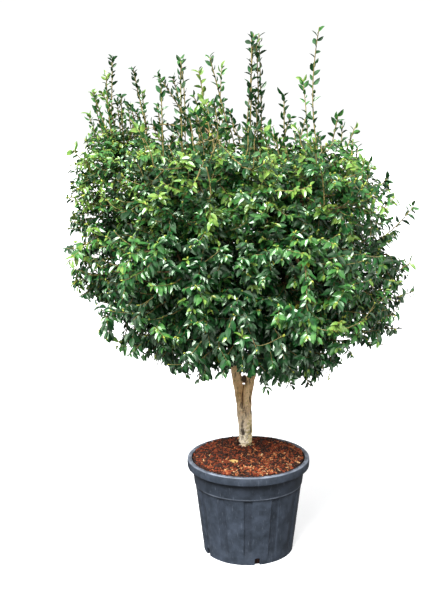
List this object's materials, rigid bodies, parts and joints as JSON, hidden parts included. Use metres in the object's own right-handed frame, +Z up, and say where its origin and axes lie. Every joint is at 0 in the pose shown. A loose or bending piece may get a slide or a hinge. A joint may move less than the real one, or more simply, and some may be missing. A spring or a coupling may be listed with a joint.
{
  "type": "potted sasanqua camellia tree",
  "caption": "Small evergreen camellia tree with a broad leafy crown on a forked trunk, standing in a round ribbed nursery pot filled with soil and bark mulch.",
  "frame": {"origin": "centre of the pot's flat underside, where the pot stands", "axes": "+Z up along the tree's height; -Y towards the side seen in the picture, +X to that side's right"},
  "size_m": [1.86, 1.6783, 2.79],
  "materials": {
    "moulded_plastic": "satin",
    "bark_mulch": "matte",
    "camellia_bark": "matte",
    "camellia_leaves": "satin"
  },
  "bodies": {
    "root": {"pot": "moulded_plastic", "soil": "bark_mulch", "trunk": "camellia_bark", "stem_left": "camellia_bark", "stem_right": "camellia_bark", "bough_lower_1": "camellia_bark", "bough_lower_2": "camellia_bark", "bough_lower_3": "camellia_bark", "bough_lower_4": "camellia_bark", "bough_lower_5": "camellia_bark", "bough_lower_6": "camellia_bark", "bough_middle_1": "camellia_bark", "bough_middle_2": "camellia_bark", "bough_middle_3": "camellia_bark", "bough_middle_4": "camellia_bark", "bough_middle_5": "camellia_bark", "bough_middle_6": "camellia_bark", "bough_upper_1": "camellia_bark", "bough_upper_2": "camellia_bark", "bough_upper_3": "camellia_bark", "bough_upper_4": "camellia_bark", "bough_upper_5": "camellia_bark", "foliage_lower_1": "camellia_leaves", "foliage_lower_2": "camellia_leaves", "foliage_lower_3": "camellia_leaves", "foliage_lower_4": "camellia_leaves", "foliage_lower_5": "camellia_leaves", "foliage_lower_6": "camellia_leaves", "foliage_middle_1": "camellia_leaves", "foliage_middle_2": "camellia_leaves", "foliage_middle_3": "camellia_leaves", "foliage_middle_4": "camellia_leaves", "foliage_middle_5": "camellia_leaves", "foliage_middle_6": "camellia_leaves", "foliage_upper_1": "camellia_leaves", "foliage_upper_2": "camellia_leaves", "foliage_upper_3": "camellia_leaves", "foliage_upper_4": "camellia_leaves", "foliage_upper_5": "camellia_leaves", "foliage_top_1": "camellia_leaves", "foliage_top_2": "camellia_leaves"}
  },
  "joints": []
}
